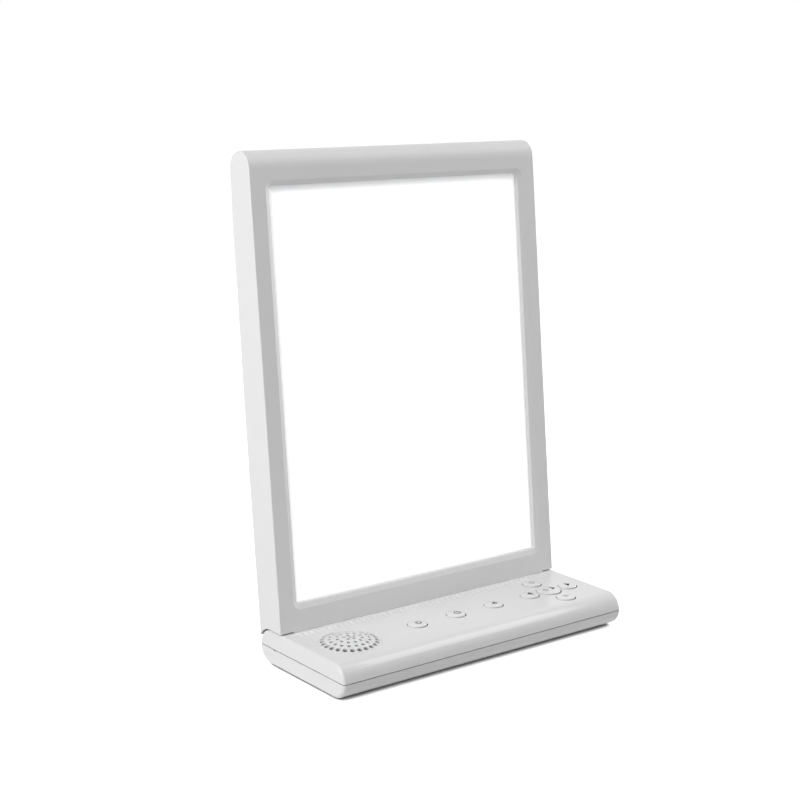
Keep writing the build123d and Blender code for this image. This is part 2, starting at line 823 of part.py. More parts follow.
# ---- panel --------------------------------------------------------------------------------------------
def panel_section():
    """Side view of the panel: flat face, round top, crowned back and a foot that wraps the base's nose."""
    centre_along = panel_length - top_radius
    mid = panel_length / 2
    # the back meets the lip's arc where the arc is as far behind the axis as the back is
    behind = panel_foot_thickness - axis_behind
    tip_along = axis_along + math.sqrt(lip_radius ** 2 - behind ** 2) + lip_blunt
    inner_behind = math.sqrt(lip_radius ** 2 - (tip_along - axis_along) ** 2)
    with BuildSketch(Plane.YZ) as section:
        with BuildLine():
            Line((foot_y, foot_z), at_panel(centre_along, 0))
            ThreePointArc(at_panel(centre_along, 0), at_panel(panel_length, top_radius),
                          at_panel(centre_along, panel_top_thickness))
            ThreePointArc(at_panel(centre_along, panel_top_thickness), at_panel(mid, panel_mid_thickness),
                          at_panel(tip_along, panel_foot_thickness))
            inner_tip = at_panel(tip_along, axis_behind + inner_behind)
            Line(at_panel(tip_along, panel_foot_thickness), inner_tip)
            half_angle = (math.pi / 2 + math.atan2(inner_tip[1] - axis_z, inner_tip[0] - axis_y)) / 2
            ThreePointArc(inner_tip, (axis_y + lip_radius * math.cos(half_angle),
                                      axis_z + lip_radius * math.sin(half_angle)), (axis_y, foot_z))
            Line((axis_y, foot_z), (foot_y, foot_z))
        make_face()
    return section.sketch


def panel_block():
    """The whole panel, its side edges eased except round the small lip at the foot."""
    slab = extrude(panel_section(), half_width, both=True)
    edges = slab.faces().filter_by(Axis.X).edges()
    return fillet([edge for edge in edges if edge.length > panel_mid_thickness], panel_end_soft)


def window_sketch(grow, outward):
    """The window's outline, larger by grow, on a plane in front of the face by outward."""
    width = base_width - 2 * window_side + 2 * grow
    low = window_bottom - grow
    high = panel_length - window_top + grow
    radius = window_radius + max(grow, 0)
    return face_plane * Pos(0, (low + high) / 2, outward) * RectangleRounded(width, high - low, radius)


def panel_screw_places():
    x = half_width - panel_boss_from_side
    low = back_bottom + panel_screw_margin
    high = panel_length - back_top - panel_screw_margin
    rows = [low + (high - low) * number / (panel_screw_rows - 1) for number in range(panel_screw_rows)]
    return [(side * x, row) for side in sides for row in rows]


def back_column(grow, front):
    """The back cover's outline, larger by grow, drawn out of the back from a depth behind the face."""
    width = base_width - 2 * panel_wall - 2 * back_reveal + 2 * grow
    low = back_bottom - grow
    high = panel_length - back_top + grow
    outline = RectangleRounded(width, high - low, back_radius + grow)
    return extrude(face_plane * Pos(0, (low + high) / 2, -front) * outline, -2 * panel_mid_thickness)


def back_cover_block(grow, depth):
    """The part of the panel's back inside the cover's outline, down to a depth under its surface."""
    shift = Pos(0, -depth * cos_t, depth * sin_t)
    slab = extrude(panel_section(), half_width, both=True)
    return (back_column(grow, 0) & slab) - shift * slab


def cavity_block():
    """The housing's hollow, open to the back where the back cover sits."""
    width = base_width - 2 * panel_wall
    low = tab_from_foot - stack_gap
    high = panel_length - top_radius
    hollow = panel_box(width, low, high, panel_wall, panel_top_thickness - panel_wall)
    dome = at_panel(high, top_radius)
    hollow += along_x(top_radius - panel_wall, -width / 2, width / 2, dome[0], dome[1])
    return hollow + back_column(back_reveal, top_radius)


def panel_housing():
    """Front, sides and round top of the panel in one moulding, with the hinge knuckles at its foot."""
    housing = panel_block() - cavity_block()
    housing += extrude(window_sketch(rim_thickness, -diffuser_recess), diffuser_recess - bevel_depth)
    for x, along in panel_screw_places():
        boss = panel_rod(panel_boss / 2, x, along, panel_wall / 2, 2 * panel_mid_thickness)
        housing += boss & (panel_block() - back_cover_block(2 * back_reveal, back_plate))
    for side in sides:
        x = side * hinge_x
        for screw_x, along in tab_screw_places(side)[:2]:
            housing += panel_rod(panel_boss / 2, screw_x, along, panel_wall / 2, spreader_back)
        knuckle = along_x(knuckle_radius, x - knuckle_width / 2, x + knuckle_width / 2, axis_y, axis_z)
        knuckle += block(x - knuckle_width / 2, x + knuckle_width / 2, axis_y - knuckle_radius,
                         axis_y + neck_rear, axis_z, foot_z + panel_wall)
        housing += knuckle
        pocket = extrude(arm_profile(arm_pocket_gap), arm_thickness / 2 + arm_pocket_gap, both=True)
        housing -= Pos(x, 0, 0) * pocket
        housing -= along_x(shaft_radius, x - knuckle_width, x + knuckle_width, axis_y, axis_z)
        for screw_x, along in tab_screw_places(side)[:2]:
            housing -= panel_rod(screw_pilot, screw_x, along, panel_wall, spreader_back)
    housing -= extrude(window_sketch(0, 1), -diffuser_recess - 1 - stack_gap)
    bevel = [window_sketch(bevel_width, 0), window_sketch(0, -bevel_depth)]
    housing -= loft(bevel)
    for x, along in panel_screw_places():
        housing -= panel_rod(screw_pilot, x, along, panel_top_thickness / 2, 2 * panel_mid_thickness)
    return housing


def back_surface(along):
    """How far the crowned back lies behind the face at a height along the panel."""
    low = (0.0, panel_foot_thickness)
    mid = (panel_length / 2, panel_mid_thickness)
    high = (panel_length - top_radius, panel_top_thickness)
    points = (low, mid, high)
    total = 0.0
    for i, (s_i, t_i) in enumerate(points):
        weight = 1.0
        for j, (s_j, _) in enumerate(points):
            if i != j:
                weight *= (along - s_j) / (s_i - s_j)
        total += weight * t_i
    return total


def panel_back_cover():
    cover = back_cover_block(0, back_plate)
    for x, along in panel_screw_places():
        surface = back_surface(along)
        cover -= panel_rod(screw_pass, x, along, 0, 2 * panel_mid_thickness)
        recess = surface - screw_head_height - fit_gap
        cover -= panel_rod(screw_head / 2 + fit_gap, x, along, recess, 2 * panel_mid_thickness)
    first = back_bottom + vent_from_edge
    last = panel_length - back_top - vent_from_edge
    for number in range(vent_rows):
        for along in (first + number * vent_pitch, last - number * vent_pitch):
            slot = face_plane * Pos(0, along, 0) * SlotOverall(vent_length, vent_width)
            cover -= extrude(slot, -2 * panel_mid_thickness)
    return cover


# ---- light stack ----------------------------------------------------------------------------------------
stack_low = window_bottom - stack_overlap
stack_high = panel_length - window_top + stack_overlap
stack_width = base_width - 2 * window_side + 2 * rim_thickness


def stack_sheet(front, thickness, trim):
    return panel_box(stack_width - 2 * trim, stack_low + trim, stack_high - trim, front, front + thickness)


def diffuser_plate():
    return stack_sheet(diffuser_recess, diffuser_thickness, 0)


def light_guide():
    return stack_sheet(diffuser_recess + diffuser_thickness, guide_thickness, stack_gap)


def reflector_sheet():
    return stack_sheet(spreader_front - reflector_thickness, reflector_thickness, stack_gap)


def led_strip(side):
    """A narrow board beside the light guide's edge with a row of small lamps facing into it."""
    front = diffuser_recess + diffuser_thickness
    inner = stack_width / 2 + led_proud
    outer = inner + strip_thickness
    middle_x = side * (inner + outer) / 2
    board = panel_box(strip_thickness, stack_low, stack_high, front, spreader_front, middle_x)
    count = int((stack_high - stack_low) / led_pitch)
    first = (stack_low + stack_high) / 2 - (count - 1) * led_pitch / 2
    middle = front + guide_thickness / 2
    for number in range(count):
        along = first + number * led_pitch
        board += panel_box(led_proud, along - led_length / 2, along + led_length / 2, middle - led_height / 2,
                           middle + led_height / 2, side * (inner - led_proud / 2))
    return board


def heat_spreader():
    """An aluminium sheet behind the stack, folded forward at both sides to hold the strips."""
    inner = stack_width / 2 + led_proud + strip_thickness
    outer = inner + spreader_thickness
    plate = panel_box(2 * outer, stack_low, stack_high, spreader_front, spreader_back)
    for side in sides:
        plate += panel_box(spreader_thickness, stack_low, stack_high, spreader_back - spreader_flange,
                           spreader_back, side * (inner + outer) / 2)
    for side in sides:
        for x, along in tab_screw_places(side):
            plate -= panel_rod(screw_shank / 2, x, along, spreader_front - 1, spreader_back + 1)
    return plate


def driver_board():
    """The lamp driver on short pillars behind the heat spreader."""
    middle = panel_length / 2
    front = spreader_back + driver_lift
    back = front + board_thickness
    low = middle - driver_length / 2
    board = panel_box(driver_width, low, low + driver_length, front, back)
    for i in sides:
        for j in sides:
            x = i * (driver_width - post_margin) / 2
            along = middle + j * (driver_length - post_margin) / 2
            board += panel_rod(post_radius / 2, x, along, spreader_back, front)
    chip_length, chip_width = chip_sizes[0]
    chip_low = middle - chip_length / 2
    board += panel_box(chip_width, chip_low, chip_low + chip_length, back, back + chip_height)
    return board


# ---- write every piece ------------------------------------------------------------------------------------
def main():
    os.makedirs("parts", exist_ok=True)
    save("base_top_cover", base_top_cover())
    save("base_bottom_cover", base_bottom_cover())
    save("rubber_feet", rubber_feet())
    save("cover_strip", cover_strip())
    for name, x, y, radius in key_places():
        save(name, key(x, y, radius))
    save("key_board", key_board())
    save("key_switches", key_switches())
    save("main_board", main_board())
    save("board_parts", board_parts())
    save("ballast_plate", ballast_plate())
    save("speaker_grille", speaker_grille())
    save("speaker_gasket", speaker_gasket())
    save("speaker_frame", speaker_frame())
    save("speaker_cone", speaker_cone())
    save("speaker_magnet", speaker_magnet())
    save("dc_jack", dc_jack())
    for side, word in zip(sides, ("left", "right")):
        save("hinge_bracket_" + word, hinge_bracket(side))
        save("hinge_shaft_" + word, hinge_shaft(side))
        save("hinge_arm_" + word, hinge_arm(side))
        save("led_strip_" + word, led_strip(side))
    save("hinge_bushes", hinge_bushes())
    save("disc_springs", disc_springs())
    save("hinge_nuts", hinge_nuts())
    save("panel_housing", panel_housing())
    save("panel_back_cover", panel_back_cover())
    save("diffuser_plate", diffuser_plate())
    save("light_guide", light_guide())
    save("reflector_sheet", reflector_sheet())
    save("heat_spreader", heat_spreader())
    save("driver_board", driver_board())


main()
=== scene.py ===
import bpy
import bmesh
import math
from mathutils import Matrix, Quaternion, Vector


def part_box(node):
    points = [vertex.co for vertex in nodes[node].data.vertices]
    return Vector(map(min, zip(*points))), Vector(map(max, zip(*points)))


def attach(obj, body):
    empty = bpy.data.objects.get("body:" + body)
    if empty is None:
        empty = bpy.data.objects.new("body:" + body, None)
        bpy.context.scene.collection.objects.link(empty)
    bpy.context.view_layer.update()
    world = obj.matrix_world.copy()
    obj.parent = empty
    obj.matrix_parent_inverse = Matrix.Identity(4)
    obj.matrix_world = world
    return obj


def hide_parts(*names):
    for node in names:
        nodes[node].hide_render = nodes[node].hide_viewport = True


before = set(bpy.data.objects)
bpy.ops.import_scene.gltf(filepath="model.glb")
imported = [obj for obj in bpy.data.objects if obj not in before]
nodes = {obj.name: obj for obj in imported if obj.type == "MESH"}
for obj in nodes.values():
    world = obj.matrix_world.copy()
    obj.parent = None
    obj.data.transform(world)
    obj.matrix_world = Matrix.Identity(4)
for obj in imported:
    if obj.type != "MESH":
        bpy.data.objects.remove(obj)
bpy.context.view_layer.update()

MM = 0.001


def box_mm(name):
    """A node's lowest and highest corners, in millimetres."""
    low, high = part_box(name)
    return Vector(low) / MM, Vector(high) / MM


# ---- places read from the CAD nodes, millimetres -----------------------------------
BASE_LOW, _ = box_mm("base_bottom_cover")
_, BASE_HIGH = box_mm("base_top_cover")
STRIP_LOW, STRIP_HIGH = box_mm("cover_strip")
JACK_LOW, JACK_HIGH = box_mm("dc_jack")
PLATE_LOW, PLATE_HIGH = box_mm("diffuser_plate")
FRONT_Y = BASE_LOW.y
REAR_Y = BASE_HIGH.y
HALF_WIDTH = BASE_HIGH.x

# ---- sizes shared with the CAD model, millimetres and radians ------------------------
TILT = math.radians(5.7)
BASE_THICKNESS = 20.4
FOOT_STAND = 1.0
NOSE = BASE_THICKNESS / 2
FOOT_FLAT = 12.0
LIP_GAP = 0.65
FOOT_Y = REAR_Y - NOSE - FOOT_FLAT
FOOT_Z = FOOT_STAND + BASE_THICKNESS + LIP_GAP
PANEL_LENGTH = 275.6
PANEL_FOOT = 22.3
PANEL_MID = 22.6
PANEL_TOP = 20.6
STRIP_RIB_PITCH = 4.0
KEY_SKIRT = 0.95
KEY_PROUD = 1.0
KEY_FLANGE_THICKNESS = 0.9
KEY_FLANGE_DROP = 2.25
PLUNGER_RADIUS = 1.6
SCREW_HEAD_RADIUS = 2.6
SCREW_HEAD_HEIGHT = 1.5
SCREW_RECESS = 1.6
BASE_SCREW_X = HALF_WIDTH - 6.5
BASE_SCREW_ROWS = (FRONT_Y + 11.5, REAR_Y - 16.0)
PANEL_SCREW_X = HALF_WIDTH - 6.0
PANEL_SCREW_ALONG = (40.0, 138.8, 237.6)
PLATE_RIM = 1.6
PLATE_OVERLAP = 3.0

KEY_NAMES = [name for name in nodes if name.endswith("_key")]


# ---- looks -----------------------------------------------------------------------------
WHITE = (0.80, 0.80, 0.802)
BLACK = (0.015, 0.015, 0.016)
RUBBER = (0.03, 0.03, 0.032)
BOARD_GREEN = (0.012, 0.08, 0.03)
INK = (0.012, 0.012, 0.013)
PALE_INK = (0.16, 0.16, 0.165)
PLATED_STEEL = (0.56, 0.57, 0.58)
TURNED_STEEL = (0.66, 0.66, 0.67)
ALUMINIUM = (0.72, 0.73, 0.74)
OPAL_DARK = (0.86, 0.865, 0.87)
OPAL_LIGHT = (0.9, 0.905, 0.91)
GLOW_COLOUR = (0.98, 0.99, 1.0, 1)

# Texture scales are counts per metre, and heights are in millimetres.
CLOUD_SCALE = 14.0
GLOSS_SCALE = 60.0
GRAIN_SCALE = 2600.0
GRAIN_HEIGHT = 0.12
TONE_SCALE = 120.0
STREAK_SCALE = 900.0
STREAK_HEIGHT = 0.05
TRACK_SCALE = 260.0
TRACK_HEIGHT = 0.05
MASK_SCALE = 80.0
OPAL_CLOUD_SCALE = 9.0
OPAL_SCALE = 1500.0
OPAL_BUMP_SCALE = 1800.0
OPAL_BUMP_HEIGHT = 0.1
FLOOR_SCALE = 3.0

# Painted shade in seams and gaps: the reach in millimetres, and the occlusion values at which a
# seam counts as shut and as open.
CREVICE_REACH = 1.6
CREVICE_SHUT = 0.12
CREVICE_OPEN = 0.5

# The window's glow in its middle and at its edges, and the share of it that other things get.
GLOW = 0.62
GLOW_EDGE = 0.16
GLOW_ON_THINGS = 0.13
# Millimetres from an edge to the full glow; the wide fade at the left and the top is painted shadow
# of the bezel.
GLOW_FADE = 1.8
PAINTED_SHADOW_FADE = 4.4


# ---- node materials --------------------------------------------------------------------
class Shader:
    """A small helper that builds one node material."""

    def __init__(self, name):
        self.material = bpy.data.materials.new(name)
        self.material.use_nodes = True
        self.tree = self.material.node_tree
        self.tree.nodes.clear()
        self.out = self.add("ShaderNodeOutputMaterial")
        self.coords = self.add("ShaderNodeTexCoord")

    def add(self, kind, **values):
        node = self.tree.nodes.new(kind)
        for key, value in values.items():
            setattr(node, key, value)
        return node

    def link(self, source, target):
        self.tree.links.new(source, target)

    def noise(self, scale, detail=2.0, rough=0.5):
        node = self.add("ShaderNodeTexNoise")
        node.inputs["Scale"].default_value = scale
        node.inputs["Detail"].default_value = detail
        node.inputs["Roughness"].default_value = rough
        self.link(self.coords.outputs["Object"], node.inputs["Vector"])
        return node.outputs["Fac"]

    def ramp(self, source, low, high, start=0.3, end=0.7):
        """A colour from low to high as an output runs from start to end."""
        node = self.add("ShaderNodeValToRGB")
        node.color_ramp.elements[0].position = start
        node.color_ramp.elements[0].color = (*low, 1)
        node.color_ramp.elements[1].position = end
        node.color_ramp.elements[1].color = (*high, 1)
        self.link(source, node.inputs["Fac"])
        return node.outputs["Color"]

    def levels(self, source, low, high, start=0.0, end=1.0):
        """A number from low to high as an output runs from start to end, and held beyond."""
        node = self.add("ShaderNodeMapRange")
        node.inputs["From Min"].default_value = start
        node.inputs["From Max"].default_value = end
        node.inputs["To Min"].default_value = low
        node.inputs["To Max"].default_value = high
        self.link(source, node.inputs["Value"])
        return node.outputs["Result"]

    def arithmetic(self, operation, first, second):
        """One arithmetic step between two outputs, or between an output and a number."""
        node = self.add("ShaderNodeMath", operation=operation)
        for socket, value in zip(node.inputs, (first, second)):
            if isinstance(value, (int, float)):
                socket.default_value = value
            else:
                self.link(value, socket)
        return node.outputs[0]

    def tinted(self, colour, factor):
        """A colour made darker by a factor that changes over the surface."""
        node = self.add("ShaderNodeVectorMath", operation="SCALE")
        self.link(colour, node.inputs[0])
        self.link(factor, node.inputs["Scale"])
        return node.outputs[0]

    def painted_crevice_shade(self, reach, darkest):
        """Painted shade: falls from 1 in the open to darkest deep inside gaps narrower than the
        reach.
        """
        node = self.add("ShaderNodeAmbientOcclusion", samples=8)
        node.inputs["Distance"].default_value = reach
        return self.levels(node.outputs["AO"], darkest, 1.0, CREVICE_SHUT, CREVICE_OPEN)

    def soft_edges(self, radius):
        node = self.add("ShaderNodeBevel", samples=6)
        node.inputs["Radius"].default_value = radius
        return node.outputs["Normal"]

    def bump(self, height, strength, distance, under=None):
        node = self.add("ShaderNodeBump")
        node.inputs["Strength"].default_value = strength
        node.inputs["Distance"].default_value = distance
        self.link(height, node.inputs["Height"])
        if under is not None:
            self.link(under, node.inputs["Normal"])
        return node.outputs["Normal"]

    def surface(self, colour, rough, normal=None, **values):
        node = self.add("ShaderNodeBsdfPrincipled")
        self.link(colour, node.inputs["Base Color"])
        self.link(rough, node.inputs["Roughness"])
        if normal is not None:
            self.link(normal, node.inputs["Normal"])
        for key, value in values.items():
            node.inputs[key].default_value = value
        self.link(node.outputs["BSDF"], self.out.inputs["Surface"])
        return node


def shade(colour, factor):
    """A colour made darker or lighter all over."""
    return tuple(channel * factor for channel in colour)


def moulded(name, colour, rough=0.46, grain=0.10, edge=0.25, painted_gap_shade=0.25):
    """Injection-moulded plastic: faint cloudiness, fine grain, eased edges, and painted shade that
    darkens its seams and gaps.
    """
    mat = Shader(name)
    cloud = mat.ramp(mat.noise(CLOUD_SCALE, 3.0), shade(colour, 0.985), colour)
    # Painted shade: the colour darkens by ambient occlusion in seams and gaps.
    cloud = mat.tinted(cloud, mat.painted_crevice_shade(CREVICE_REACH * MM, painted_gap_shade))
    gloss = mat.levels(mat.noise(GLOSS_SCALE, 4.0), 0.8 * rough, 1.2 * rough)
    normal = mat.bump(mat.noise(GRAIN_SCALE, 2.0, 0.6), grain, GRAIN_HEIGHT * MM,
                      mat.soft_edges(edge * MM))
    mat.surface(cloud, gloss, normal)
    return mat.material


def metal(name, colour, rough):
    """Rolled or turned metal with fine streaks."""
    mat = Shader(name)
    streaks = mat.noise(STREAK_SCALE, 3.0)
    tone = mat.ramp(mat.noise(TONE_SCALE, 4.0), shade(colour, 0.85), colour)
    gloss = mat.levels(streaks, rough - 0.08, rough + 0.08)
    mat.surface(tone, gloss, mat.bump(streaks, 0.08, STREAK_HEIGHT * MM), Metallic=1.0)
    return mat.material


def board(name, colour):
    """Green solder mask over a fine copper pattern."""
    mat = Shader(name)
    tracks = mat.add("ShaderNodeTexBrick")
    tracks.inputs["Scale"].default_value = TRACK_SCALE
    tracks.inputs["Color1"].default_value = (*colour, 1)
    tracks.inputs["Color2"].default_value = (*shade(colour, 1.5), 1)
    tracks.inputs["Mortar"].default_value = (*shade(colour, 0.6), 1)
    mat.link(mat.coords.outputs["Object"], tracks.inputs["Vector"])
    mat.surface(tracks.outputs["Color"], mat.levels(mat.noise(MASK_SCALE), 0.25, 0.4),
                mat.bump(tracks.outputs["Fac"], 0.2, TRACK_HEIGHT * MM))
    return mat.material


def lit_diffuser():
    """Opal sheet lit from behind: an even glow that dims a little towards its edges; the wider
    dimming at the left and the top is painted shadow of the bezel.

    The camera sees all of the glow, and the things round the window get only a share of it.
    """
    mat = Shader("lit_diffuser")
    parts = mat.add("ShaderNodeSeparateXYZ")
    mat.link(mat.coords.outputs["Object"], parts.inputs[0])
    half_x = (PLATE_HIGH.x - PLATE_RIM) * MM
    middle_z = (PLATE_HIGH.z + PLATE_LOW.z) / 2 * MM
    half_z = ((PLATE_HIGH.z - PLATE_LOW.z) / 2 - PLATE_OVERLAP) * MM
    across = parts.outputs["X"]
    height = mat.arithmetic("SUBTRACT", parts.outputs["Z"], middle_z)
    # The glow dims towards each edge; at the left and the top the wider dimming is painted shadow
    # of the bezel.
    near = []
    for operation, first, second, fade in (("ADD", across, half_x, PAINTED_SHADOW_FADE),
                                           ("SUBTRACT", half_x, across, GLOW_FADE),
                                           ("SUBTRACT", half_z, height, PAINTED_SHADOW_FADE),
                                           ("ADD", half_z, height, GLOW_FADE)):
        inside = mat.arithmetic(operation, first, second)
        near.append(mat.arithmetic("DIVIDE", inside, fade * MM))
    left, right, top, foot = near
    nearest = mat.arithmetic("MINIMUM", mat.arithmetic("MINIMUM", left, right),
                             mat.arithmetic("MINIMUM", top, foot))
    edge = mat.levels(nearest, GLOW_EDGE, GLOW)
    cloud = mat.levels(mat.noise(OPAL_CLOUD_SCALE, 2.0), 0.98, 1.0)
    rays = mat.add("ShaderNodeLightPath")
    share = mat.levels(rays.outputs["Is Camera Ray"], GLOW_ON_THINGS, 1.0)
    glow = mat.arithmetic("MULTIPLY", mat.arithmetic("MULTIPLY", edge, cloud), share)
    colour = mat.ramp(mat.noise(OPAL_SCALE), OPAL_DARK, OPAL_LIGHT)
    gloss = mat.levels(mat.noise(OPAL_SCALE), 0.5, 0.6)
    normal = mat.bump(mat.noise(OPAL_BUMP_SCALE), 0.05, OPAL_BUMP_HEIGHT * MM)
    node = mat.surface(colour, gloss, normal)
    node.inputs["Emission Color"].default_value = GLOW_COLOUR
    mat.link(glow, node.inputs["Emission Strength"])
    return mat.material


# Each moulded material gets painted shade in its seams and gaps; the keys, grille and strip set
# their own depth of it.
body_mat = moulded("white_housing", WHITE, rough=0.42)
base_mat = moulded("white_base", WHITE, rough=0.06, grain=0.01)
key_mat = moulded("white_keys", WHITE, rough=0.08, grain=0.01, painted_gap_shade=0.3)
grille_mat = moulded("white_grille", WHITE, rough=0.2, grain=0.02, edge=0.15, painted_gap_shade=0.75)
strip_mat = moulded("white_strip", WHITE, rough=0.15, grain=0.02, edge=0.1, painted_gap_shade=0.5)
black_mat = moulded("black_plastic", BLACK)
rubber_mat = moulded("rubber", RUBBER, rough=0.75, grain=0.3)
board_mat = board("board_green", BOARD_GREEN)
ink_mat = moulded("printed_ink", INK, rough=0.9, grain=0.03)
pale_ink_mat = moulded("printed_ink_pale", PALE_INK, rough=0.9, grain=0.03)
steel_mat = metal("plated_steel", PLATED_STEEL, 0.38)
bright_mat = metal("turned_steel", TURNED_STEEL, 0.28)
alu_mat = metal("aluminium_sheet", ALUMINIUM, 0.42)
diffuser_mat = lit_diffuser()

MATERIAL_OF = {
    "rubber_feet": rubber_mat, "speaker_gasket": rubber_mat,
    "speaker_grille": grille_mat, "cover_strip": strip_mat,
    "dc_jack": black_mat, "board_parts": black_mat,
    "key_switches": black_mat, "speaker_cone": black_mat,
    "key_board": board_mat, "main_board": board_mat, "driver_board": board_mat,
    "led_strip_left": board_mat, "led_strip_right": board_mat,
    "diffuser_plate": diffuser_mat, "light_guide": key_mat, "reflector_sheet": key_mat,
    "heat_spreader": alu_mat, "hinge_bushes": key_mat,
    "hinge_shaft_left": bright_mat, "hinge_shaft_right": bright_mat,
    "disc_springs": bright_mat, "hinge_nuts": bright_mat,
}
NODE_SHARP = 32.0


def dress_nodes():
    """Every CAD node gets its material, and sharp edges where its faces meet."""
    for name, node in nodes.items():
        if name in MATERIAL_OF:
            material = MATERIAL_OF[name]
        elif name.endswith("_key"):
            material = key_mat
        elif name.startswith("base_"):
            material = base_mat
        elif name.startswith("panel_"):
            material = body_mat
        else:
            material = steel_mat
        node.data.materials.clear()
        node.data.materials.append(material)
        node.data.set_sharp_from_angle(angle=math.radians(NODE_SHARP))


# ---- mesh helpers, millimetres in, metres out ----------------------------------------------
def add_mesh(name, points, faces, material, body, sharp=35.0):
    """A smooth piece from points in millimetres, with edges over sharp degrees left sharp."""
    mesh = bpy.data.meshes.new(name)
    mesh.from_pydata([Vector(point) * MM for point in points], [], faces)
    work = bmesh.new()
    work.from_mesh(mesh)
    bmesh.ops.recalc_face_normals(work, faces=work.faces)
    work.to_mesh(mesh)
    work.free()
    for polygon in mesh.polygons:
        polygon.use_smooth = True
    mesh.set_sharp_from_angle(angle=math.radians(sharp))
    mesh.materials.append(material)
    piece = bpy.data.objects.new(name, mesh)
    bpy.context.collection.objects.link(piece)
    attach(piece, body)
    return piece


def lathe(profile, segments, place):
    """Points and faces of a turned form: (radius, height) pairs, placed by a matrix."""
    points = []
    rings = []
    for radius, height in profile:
        if radius == 0:
            rings.append([len(points)] * segments)
            points.append(place @ Vector((0, 0, height)))
            continue
        rings.append(range(len(points), len(points) + segments))
        for number in range(segments):
            angle = 2 * math.pi * number / segments
            spoke = Vector((radius * math.cos(angle), radius * math.sin(angle), height))
            points.append(place @ spoke)
    faces = []
    for low, high in zip(rings, rings[1:]):
        for number in range(segments):
            after = (number + 1) % segments
            face = dict.fromkeys((low[number], low[after], high[after], high[number]))
            faces.append(tuple(face))
    return points, faces


# ---- ribbed strip in front of the panel --------------------------------------------------------
RIB_CELLS = 10
STRIP_ROWS = 14
STRIP_SHARP = 60.0
STRIP_LAP = 0.08
STRIP_LIP = 0.03
STRIP_FLAT = 0.04
STRIP_UNDER = 0.7
STRIP_BACK_GAP = 0.15
RIB_END = 0.8
RIB_LEAN = 1.6
RIB_RISE = 0.8
RIB_DEPTH = 1.4


def strip_height(across, along):
    """Height over the base top: across runs 0 to 1 over a rib, along 0 to 1 front to back."""
    swell = math.sin(math.pi * min(along / RIB_END, 1.0) ** RIB_LEAN)
    scallop = (2 * across - 1) ** 2
    plain = STRIP_LIP + (STRIP_FLAT - STRIP_LIP) * along
    return plain + swell * (RIB_RISE - RIB_DEPTH * scallop)


def make_strip():
    """Scalloped ribs that grow out of the base top and end against the panel's foot."""
    left = STRIP_LOW.x - STRIP_LAP
    width = STRIP_HIGH.x - STRIP_LOW.x + 2 * STRIP_LAP
    front = STRIP_LOW.y - STRIP_LAP
    depth = FOOT_Y - STRIP_BACK_GAP - front
    top = FOOT_STAND + BASE_THICKNESS
    ribs = round(width / STRIP_RIB_PITCH)
    columns = ribs * RIB_CELLS
    points = []
    for column in range(columns + 1):
        x = left + width * column / columns
        for row in range(STRIP_ROWS + 1):
            along = row / STRIP_ROWS
            height = strip_height(column % RIB_CELLS / RIB_CELLS, along)
            points.append((x, front + depth * along, top + height))
    count = STRIP_ROWS + 1
    faces = []
    for column in range(columns):
        for row in range(STRIP_ROWS):
            first = column * count + row
            faces.append((first, first + count, first + count + 1, first + 1))
    under = len(points)
    for column in range(columns + 1):
        x = left + width * column / columns
        points += [(x, front, top - STRIP_UNDER), (x, front + depth, top - STRIP_UNDER)]
    for column in range(columns):
        low = under + 2 * column
        high = column * count
        faces.append((low, low + 1, low + 3, low + 2))
        faces.append((low, low + 2, high + count, high))
        faces.append((low + 1, high + STRIP_ROWS, high + STRIP_ROWS + count, low + 3))
    last = columns * count
    faces.append((under, *range(count), under + 1))
    faces.append((under + 2 * columns, *range(last, last + count), under + 2 * columns + 1))
    piece = add_mesh("ribbed_strip", points, faces, strip_mat, "base", STRIP_SHARP)
    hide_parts("cover_strip")


# ---- lip under the panel's foot ------------------------------------------------------------------
LIP_FROM_SIDE = 9.0
LIP_CLEAR = 0.04
LIP_OVERLAP = 0.5
LIP_DEPTH = 1.3
LIP_PROUD = 0.02
LIP_CHAMFER = 0.1
LIP_SHARP = 30.0


def make_foot_lip():
    """Between its two notched ends the panel's foot reaches down to the base top."""
    half = HALF_WIDTH - LIP_FROM_SIDE
    low = FOOT_STAND + BASE_THICKNESS + LIP_CLEAR
    high = FOOT_Z + LIP_OVERLAP
    slope = math.tan(TILT)
    face_low = FOOT_Y - (FOOT_Z - low) * slope - LIP_PROUD
    face_high = FOOT_Y + LIP_OVERLAP * slope - LIP_PROUD
    section = [(face_low + LIP_CHAMFER, low), (face_low, low + LIP_CHAMFER), (face_high, high),
               (face_high + LIP_DEPTH, high), (face_low + LIP_DEPTH, low)]
    points = [(x, y, z) for x in (-half, half) for y, z in section]
    count = len(section)
    faces = [tuple(range(count)), tuple(range(count, 2 * count))]
    for corner in range(count):
        after = (corner + 1) % count
        faces.append((corner, after, count + after, count + corner))
    add_mesh("foot_lip", points, faces, body_mat, "panel", LIP_SHARP)


# ---- keys ----------------------------------------------------------------------------------
KEY_EDGE = 0.35
KEY_RIM = 0.5
KEY_CROWN = 0.4
KEY_RIM_DROP = 0.2
KEY_SHARP = 50.0
KEY_SEGMENTS = 64
EDGE_STEPS = 5
CROWN_RINGS = 8
# A cap is smaller in radius than its solid, and stands off its hole's middle in x and y.
KEY_INSET = 0.2
KEY_PLAY = (-0.16, 0.08)


def crown_drop(radius, cap_radius):
    """How far the domed top lies below the solid's flat top; below 0 it stands above it."""
    inner = cap_radius - KEY_RIM
    return KEY_RIM_DROP - KEY_CROWN * max(0.0, 1 - (radius / inner) ** 2)


